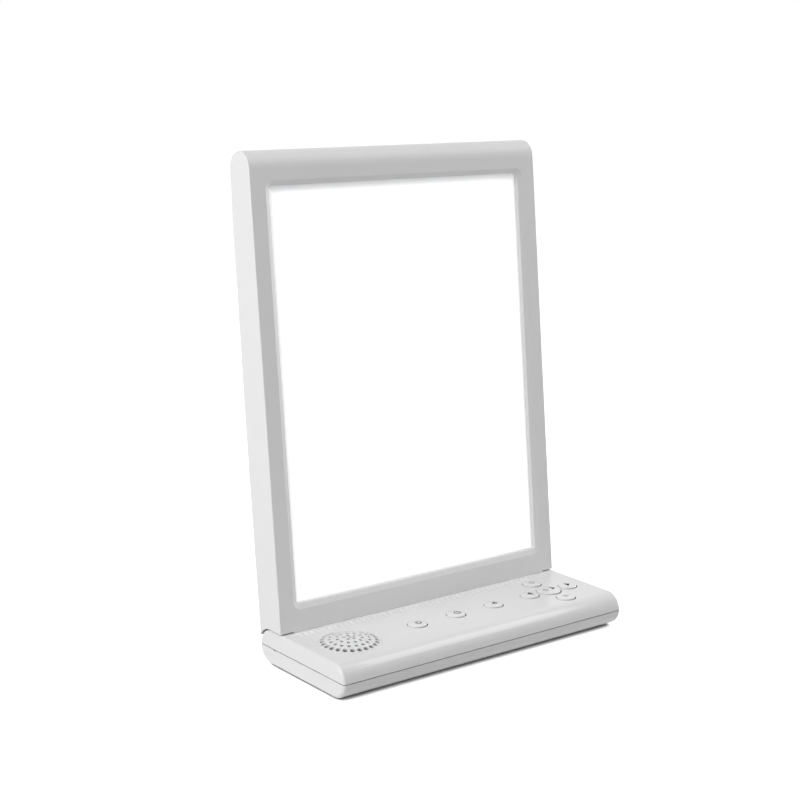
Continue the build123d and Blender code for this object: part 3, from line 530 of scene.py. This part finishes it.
def key_profile(low, high, cap_radius):
    """From the plunger's end up over the flange and the rounded rim to the middle of the crown."""
    flange_high = high - KEY_FLANGE_DROP - KEY_PROUD
    flange_low = flange_high - KEY_FLANGE_THICKNESS
    profile = [(0, low), (PLUNGER_RADIUS, low), (PLUNGER_RADIUS, flange_low),
               (cap_radius + KEY_SKIRT, flange_low), (cap_radius + KEY_SKIRT, flange_high),
               (cap_radius, flange_high)]
    rim = high - KEY_RIM_DROP
    for step in range(EDGE_STEPS + 1):
        turn = math.pi / 2 * step / EDGE_STEPS
        profile.append((cap_radius - KEY_EDGE + KEY_EDGE * math.cos(turn),
                        rim - KEY_EDGE + KEY_EDGE * math.sin(turn)))
    inner = cap_radius - KEY_RIM
    for ring in range(CROWN_RINGS, -1, -1):
        radius = inner * ring / CROWN_RINGS
        profile.append((radius, high - crown_drop(radius, cap_radius)))
    return profile


def make_keys():
    """One cap per key; returns each cap's middle, the height of its solid, and its radius."""
    tops = {}
    for name in KEY_NAMES:
        low, high = box_mm(name)
        middle = (low + high) / 2
        middle.x += KEY_PLAY[0]
        middle.y += KEY_PLAY[1]
        cap_radius = (high.x - low.x) / 2 - KEY_SKIRT - KEY_INSET
        place = Matrix.Translation((middle.x, middle.y, 0))
        points, faces = lathe(key_profile(low.z, high.z, cap_radius), KEY_SEGMENTS, place)
        piece = add_mesh(name + "_cap", points, faces, key_mat, name, KEY_SHARP)
        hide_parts(name)
        tops[name] = (middle.x, middle.y, high.z, cap_radius)
    return tops


# ---- printed icons ---------------------------------------------------------------------------
INK_LIFT = 0.015
INK_DEPTH = 0.03
INK_WELD = 0.01
ARC_STEP = 0.12
FILL_CELLS = 6
SUN_RING = 0.4
SUN_RAY = 0.35
SUN_GAP = 0.45


def bar(start, end, width, cells=6):
    """A straight stroke as a strip of quads."""
    start = Vector(start)
    end = Vector(end)
    across = (end - start).orthogonal().normalized() * width / 2
    line = [start.lerp(end, number / cells) for number in range(cells + 1)]
    return strip([point - across for point in line], [point + across for point in line])


def arc(middle, radius, start, end, width):
    """A curved stroke, angles in degrees."""
    cells = max(4, round(math.radians(abs(end - start)) / ARC_STEP))
    inner = []
    outer = []
    for number in range(cells + 1):
        angle = math.radians(start + (end - start) * number / cells)
        ray = Vector((math.cos(angle), math.sin(angle)))
        inner.append(Vector(middle) + ray * (radius - width / 2))
        outer.append(Vector(middle) + ray * (radius + width / 2))
    return strip(inner, outer)


def strip(left, right):
    """Quads between two lines with the same number of points."""
    points = []
    faces = []
    for one, other in zip(left, right):
        points += [one, other]
    for number in range(len(left) - 1):
        first = 2 * number
        faces.append((first, first + 1, first + 3, first + 2))
    return points, faces


def wedge(a, b, c, d):
    """A filled four-cornered patch in small cells; two corners may meet."""
    left = [Vector(a).lerp(Vector(d), number / FILL_CELLS) for number in range(FILL_CELLS + 1)]
    right = [Vector(b).lerp(Vector(c), number / FILL_CELLS) for number in range(FILL_CELLS + 1)]
    points = []
    faces = []
    for one, other in zip(left, right):
        points += [one.lerp(other, number / FILL_CELLS) for number in range(FILL_CELLS + 1)]
    row = FILL_CELLS + 1
    for i in range(FILL_CELLS):
        for j in range(FILL_CELLS):
            first = i * row + j
            faces.append((first, first + 1, first + row + 1, first + row))
    return points, faces


def print_icon(name, key, top, strokes, material):
    """Lay flat strokes on a key's domed top as a thin film of ink."""
    x, y, z, cap_radius = top
    points = []
    faces = []
    for flat, cells in strokes:
        start = len(points)
        for point in flat:
            height = z - crown_drop(point.length, cap_radius) + INK_LIFT
            points.append((x + point.x, y + point.y, height))
        faces += [tuple(start + index for index in cell) for cell in cells]
    piece = add_mesh(name, points, faces, material, key)
    work = bmesh.new()
    work.from_mesh(piece.data)
    bmesh.ops.remove_doubles(work, verts=work.verts, dist=INK_WELD * MM)
    bmesh.ops.dissolve_degenerate(work, edges=work.edges, dist=INK_WELD / 10 * MM)
    upside_down = [face for face in work.faces if face.normal.z < 0]
    bmesh.ops.reverse_faces(work, faces=upside_down)
    work.to_mesh(piece.data)
    work.free()
    film = piece.modifiers.new("film", "SOLIDIFY")
    film.thickness = INK_DEPTH * MM
    film.offset = -1.0


def sun(radius, reach):
    """A ring with eight short rays that end at the reach."""
    strokes = [arc((0, 0), radius, 0, 360, SUN_RING)]
    for turn in range(8):
        out = Vector((math.cos(turn * math.pi / 4), math.sin(turn * math.pi / 4)))
        strokes.append(bar(out * (radius + SUN_GAP), out * reach, SUN_RAY, 2))
    return strokes


def print_icons(tops):
    """Strokes in millimetres from each key's middle."""
    icons = {
        "power": [arc((0.8, -0.2), 1.6, 125, 415, 0.75), bar((0.8, 0.4), (0.8, 2.1), 0.75)],
        "timer": [arc((1.0, 0), 1.9, 0, 360, 0.65), bar((1.0, -0.1), (1.0, 1.1), 0.45),
                  bar((1.0, 0), (1.8, -0.4), 0.45)],
        "sound": [wedge((-0.8, -0.9), (0.4, -0.9), (0.4, 0.9), (-0.8, 0.9)),
                  wedge((0.4, -0.9), (1.7, -2.2), (1.7, 2.2), (0.4, 0.9)),
                  arc((1.3, 0), 1.4, -45, 45, 0.5)],
        "left": [wedge((-1.4, 0.3), (1.9, -2.3), (1.9, 2.9), (-1.4, 0.3))],
        "right": [wedge((-1.2, -2.5), (2.2, 0.1), (2.2, 0.1), (-1.2, 2.7))],
        "select": [wedge((2.4, -2.2), (5.4, 0.3), (5.4, 0.3), (2.4, 2.8))],
    }
    for name, strokes in icons.items():
        print_icon(name + "_icon", name + "_key", tops[name + "_key"], strokes, ink_mat)
    ring = [arc((-2.5, 0), 1.4, 0, 360, 0.45)]
    print_icon("select_ring", "select_key", tops["select_key"], ring, pale_ink_mat)
    for name, strokes in (("back", sun(1.2, 2.3)), ("front", sun(0.9, 1.9))):
        print_icon(name + "_icon", name + "_key", tops[name + "_key"], strokes, pale_ink_mat)


# ---- screws ------------------------------------------------------------------------------------
SCREW_SEGMENTS = 32
SCREW_SHARP = 30.0
CROSS_ARM = 1.5
CROSS_HALF_WIDTH = 0.42
CROSS_DEPTH = 0.9


def screw_head(name, place, body):
    """A pan head with a cross recess, its head along the place's +Z."""
    profile = [(SCREW_HEAD_RADIUS, 0), (SCREW_HEAD_RADIUS, 0.55 * SCREW_HEAD_HEIGHT),
               (0.93 * SCREW_HEAD_RADIUS, 0.85 * SCREW_HEAD_HEIGHT),
               (0.78 * SCREW_HEAD_RADIUS, SCREW_HEAD_HEIGHT)]
    points, faces = lathe(profile, SCREW_SEGMENTS, place)
    faces.append(tuple(range(SCREW_SEGMENTS)))
    corners = ((CROSS_ARM, -CROSS_HALF_WIDTH, 0), (CROSS_ARM, CROSS_HALF_WIDTH, 0),
               (CROSS_HALF_WIDTH, CROSS_HALF_WIDTH, 0))
    outline = []
    for turn in range(4):
        spin = Matrix.Rotation(turn * math.pi / 2, 3, "Z")
        outline += [spin @ Vector(corner) for corner in corners]
    to_face = Vector((0, 0, SCREW_HEAD_HEIGHT))
    to_floor = Vector((0, 0, SCREW_HEAD_HEIGHT - CROSS_DEPTH))
    mesh = bpy.data.meshes.new(name)
    work = bmesh.new()
    verts = [work.verts.new(point) for point in points]
    for face in faces:
        work.faces.new([verts[index] for index in face])
    rim = verts[-SCREW_SEGMENTS:]
    upper = [work.verts.new(place @ (corner + to_face)) for corner in outline]
    lower = [work.verts.new(place @ (corner + to_floor)) for corner in outline]
    edges = [work.edges.get(pair) for pair in zip(rim, rim[1:] + rim[:1])]
    count = len(outline)
    edges += [work.edges.new((upper[n], upper[(n + 1) % count])) for n in range(count)]
    bmesh.ops.triangle_fill(work, use_beauty=True, use_dissolve=False, edges=edges)
    for n in range(count):
        after = (n + 1) % count
        work.faces.new((upper[n], upper[after], lower[after], lower[n]))
    work.faces.new(lower)
    bmesh.ops.recalc_face_normals(work, faces=work.faces)
    bmesh.ops.scale(work, vec=(MM, MM, MM), verts=work.verts)
    work.to_mesh(mesh)
    work.free()
    mesh.set_sharp_from_angle(angle=math.radians(SCREW_SHARP))
    mesh.materials.append(steel_mat)
    piece = bpy.data.objects.new(name, mesh)
    bpy.context.collection.objects.link(piece)
    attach(piece, body)


def back_depth(along):
    """How far the crowned back lies behind the face, through its foot, middle and top."""
    stations = ((0.0, PANEL_FOOT), (PANEL_LENGTH / 2, PANEL_MID),
                (PANEL_LENGTH - PANEL_TOP / 2, PANEL_TOP))
    total = 0.0
    for here, depth in stations:
        weight = 1.0
        for there, _ in stations:
            if there != here:
                weight *= (along - there) / (here - there)
        total += weight * depth
    return total


def at_panel(along, behind):
    """The y and z of a place on the leaning panel: up along it, and behind its face."""
    return (FOOT_Y + along * math.sin(TILT) + behind * math.cos(TILT),
            FOOT_Z + along * math.cos(TILT) - behind * math.sin(TILT))


def make_screws():
    """Six heads under the base and six in the panel's back, each turned its own way."""
    downward = Matrix.Rotation(math.pi, 4, "X")
    for column, x in enumerate((-BASE_SCREW_X, 0.0, BASE_SCREW_X)):
        for row, y in enumerate(BASE_SCREW_ROWS):
            spin = Matrix.Rotation(0.4 + column + 2.1 * row, 4, "Z")
            place = Matrix.Translation((x, y, FOOT_STAND + SCREW_HEAD_HEIGHT)) @ downward @ spin
            screw_head("base_screw_%d_%d" % (column, row), place, "base")
    outward = Matrix.Rotation(-math.pi / 2 - TILT, 4, "X")
    for side in (-1, 1):
        for row, along in enumerate(PANEL_SCREW_ALONG):
            y, z = at_panel(along, back_depth(along) - SCREW_RECESS)
            spin = Matrix.Rotation(0.9 * row + 0.5 * side, 4, "Z")
            place = Matrix.Translation((side * PANEL_SCREW_X, y, z)) @ outward @ spin
            name = "panel_screw_%s_%d" % ("left" if side < 0 else "right", row)
            screw_head(name, place, "panel")


# ---- inlet contacts -----------------------------------------------------------------------------
PIN_SEGMENTS = 24
PIN_RADIUS = 1.06
PIN_LENGTH = 8.0
PIN_SETBACK = 1.45
SLEEVE_SEGMENTS = 40
SLEEVE_OUTER = 3.16
SLEEVE_INNER = 2.98
SLEEVE_LENGTH = 6.5
SLEEVE_SETBACK = 2.2


def make_inlet():
    """A plated pin with a domed tip and a spring sleeve inside the bore."""
    middle = (JACK_LOW + JACK_HIGH) / 2
    along_x = Matrix.Rotation(math.pi / 2, 4, "Y")
    place = Matrix.Translation((0, middle.y, middle.z)) @ along_x
    tip = JACK_HIGH.x - PIN_SETBACK
    back = tip - PIN_LENGTH
    pin = [(0, back), (PIN_RADIUS, back), (PIN_RADIUS, tip - 0.6), (0.9, tip - 0.25), (0.5, tip),
           (0, tip + 0.08)]
    points, faces = lathe(pin, PIN_SEGMENTS, place)
    add_mesh("inlet_pin", points, faces, bright_mat, "base")
    mouth = JACK_HIGH.x - SLEEVE_SETBACK
    back = mouth - SLEEVE_LENGTH
    sleeve = [(SLEEVE_OUTER, back), (SLEEVE_OUTER, mouth), (SLEEVE_INNER, mouth + 0.1),
              (SLEEVE_INNER, back), (SLEEVE_OUTER, back)]
    points, faces = lathe(sleeve, SLEEVE_SEGMENTS, place)
    add_mesh("inlet_sleeve", points, faces, bright_mat, "base")


# ---- floor, world and lamps ----------------------------------------------------------------------
FLOOR_SIZE = 12.0
FLOOR_DARK = (0.60, 0.60, 0.60)
FLOOR_LIGHT = (0.62, 0.62, 0.62)
FLOOR_LIFT = 0.99
# The contact shadow's reach in millimetres, the occlusion values at its darkest and where it
# ends, and the share of the floor's brightness that is left in it.
CONTACT_REACH = 8.0
CONTACT_DEEP = 0.12
CONTACT_OPEN = 0.36
CONTACT_DARK = 0.02

AMBIENT = 0.115
# Each lamp: name, place, aim and size in metres, power in watts, and turn in degrees.
LAMPS = (
    ("lamp_left", (-1.5, -0.1, 0.75), (0, 0, 0.12), (1.2, 1.2), 18.4, 0.0),
    ("lamp_top", (-0.2, -0.3, 1.6), (0, 0, 0.1), (1.4, 1.4), 8.2, 0.0),
    ("lamp_right", (1.5, -0.15, 0.4), (0, 0, 0.12), (0.8, 0.8), 12.9, 0.0),
    ("lamp_streak", (1.0, -0.43, 1.3), (0, 0, 0.02), (1.0, 0.35), 2.8, 30.0),
    ("lamp_back", (0.1, 1.6, 0.3), (0, 0, 0.14), (1.2, 0.5), 6.5, 0.0),
)


def add_floor():
    """A plain pale floor: white to the camera and to gloss, dark only in the contact shadow."""
    bpy.ops.mesh.primitive_plane_add(size=FLOOR_SIZE, location=(0, 0, 0))
    floor = bpy.context.object
    floor.name = "floor"
    mat = Shader("floor")
    diffuse = mat.add("ShaderNodeBsdfDiffuse")
    pale = mat.ramp(mat.noise(FLOOR_SCALE, 2.0), FLOOR_DARK, FLOOR_LIGHT)
    rays = mat.add("ShaderNodeLightPath")
    seen = mat.arithmetic("MAXIMUM", rays.outputs["Is Camera Ray"], rays.outputs["Is Glossy Ray"])
    closeness = mat.add("ShaderNodeAmbientOcclusion", samples=12)
    closeness.inputs["Distance"].default_value = CONTACT_REACH * MM
    openness = mat.levels(closeness.outputs["AO"], CONTACT_DARK, 1.0, CONTACT_DEEP, CONTACT_OPEN)
    mat.link(mat.tinted(pale, openness), diffuse.inputs["Color"])
    lift = mat.arithmetic("MULTIPLY", mat.arithmetic("MULTIPLY", openness, seen), FLOOR_LIFT)
    glow = mat.add("ShaderNodeEmission")
    mat.link(lift, glow.inputs["Strength"])
    both = mat.add("ShaderNodeAddShader")
    mat.link(diffuse.outputs[0], both.inputs[0])
    mat.link(glow.outputs[0], both.inputs[1])
    mat.link(both.outputs[0], mat.out.inputs["Surface"])
    floor.data.materials.append(mat.material)


def set_world():
    """Even ambient light; the camera, gloss and glass see white."""
    world = bpy.data.worlds.new("studio")
    bpy.context.scene.world = world
    world.use_nodes = True
    tree = world.node_tree
    tree.nodes.clear()
    out = tree.nodes.new("ShaderNodeOutputWorld")
    plain = tree.nodes.new("ShaderNodeBackground")
    plain.inputs["Strength"].default_value = AMBIENT
    seen = tree.nodes.new("ShaderNodeBackground")
    seen.inputs["Strength"].default_value = 1.0
    for background in (plain, seen):
        background.inputs["Color"].default_value = (1, 1, 1, 1)
    rays = tree.nodes.new("ShaderNodeLightPath")
    first = tree.nodes.new("ShaderNodeMath")
    first.operation = "MAXIMUM"
    tree.links.new(rays.outputs["Is Camera Ray"], first.inputs[0])
    tree.links.new(rays.outputs["Is Transmission Ray"], first.inputs[1])
    second = tree.nodes.new("ShaderNodeMath")
    second.operation = "MAXIMUM"
    tree.links.new(first.outputs[0], second.inputs[0])
    tree.links.new(rays.outputs["Is Glossy Ray"], second.inputs[1])
    mix = tree.nodes.new("ShaderNodeMixShader")
    tree.links.new(second.outputs[0], mix.inputs["Fac"])
    tree.links.new(plain.outputs[0], mix.inputs[1])
    tree.links.new(seen.outputs[0], mix.inputs[2])
    tree.links.new(mix.outputs[0], out.inputs["Surface"])


def add_lamp(name, place, aim, size, power, turn):
    data = bpy.data.lights.new(name, "AREA")
    data.shape = "RECTANGLE"
    data.size, data.size_y = size
    data.energy = power
    lamp = bpy.data.objects.new(name, data)
    bpy.context.collection.objects.link(lamp)
    lamp.location = place
    towards = (Vector(aim) - Vector(place)).to_track_quat("-Z", "Y")
    lamp.rotation_euler = (towards @ Quaternion((0, 0, 1), math.radians(turn))).to_euler()


CAMERA_AZIMUTH = math.radians(37.192)
CAMERA_ELEVATION = math.radians(11.778)
CAMERA_ROLL = math.radians(0.138)
CAMERA_DISTANCE = 0.98066
CAMERA_TARGET = Vector((-0.01225, 0.01915, 0.14788))
CAMERA_LENS = 74.04
CAMERA_SENSOR = 36.0
CAMERA_SHIFT = (0.0020, -0.0032)


def set_camera():
    """The camera stands in front of the lamp, to its left, a little above the middle."""
    level = math.cos(CAMERA_ELEVATION)
    back = Vector((-math.sin(CAMERA_AZIMUTH) * level, -math.cos(CAMERA_AZIMUTH) * level,
                   math.sin(CAMERA_ELEVATION)))
    right = (-back).cross(Vector((0, 0, 1))).normalized()
    up = right.cross(-back)
    turned_right = math.cos(CAMERA_ROLL) * right + math.sin(CAMERA_ROLL) * up
    turned_up = -math.sin(CAMERA_ROLL) * right + math.cos(CAMERA_ROLL) * up
    data = bpy.data.cameras.new("camera")
    data.sensor_width = CAMERA_SENSOR
    data.lens = CAMERA_LENS
    data.shift_x, data.shift_y = CAMERA_SHIFT
    data.clip_start = 0.01
    camera = bpy.data.objects.new("camera", data)
    bpy.context.collection.objects.link(camera)
    turn = Matrix((turned_right, turned_up, back)).transposed().to_4x4()
    camera.matrix_world = Matrix.Translation(CAMERA_TARGET + CAMERA_DISTANCE * back) @ turn
    bpy.context.scene.camera = camera


dress_nodes()
make_strip()
make_foot_lip()
print_icons(make_keys())
make_screws()
make_inlet()
add_floor()
set_world()
for lamp in LAMPS:
    add_lamp(*lamp)
set_camera()
bpy.context.scene.view_settings.view_transform = "Standard"
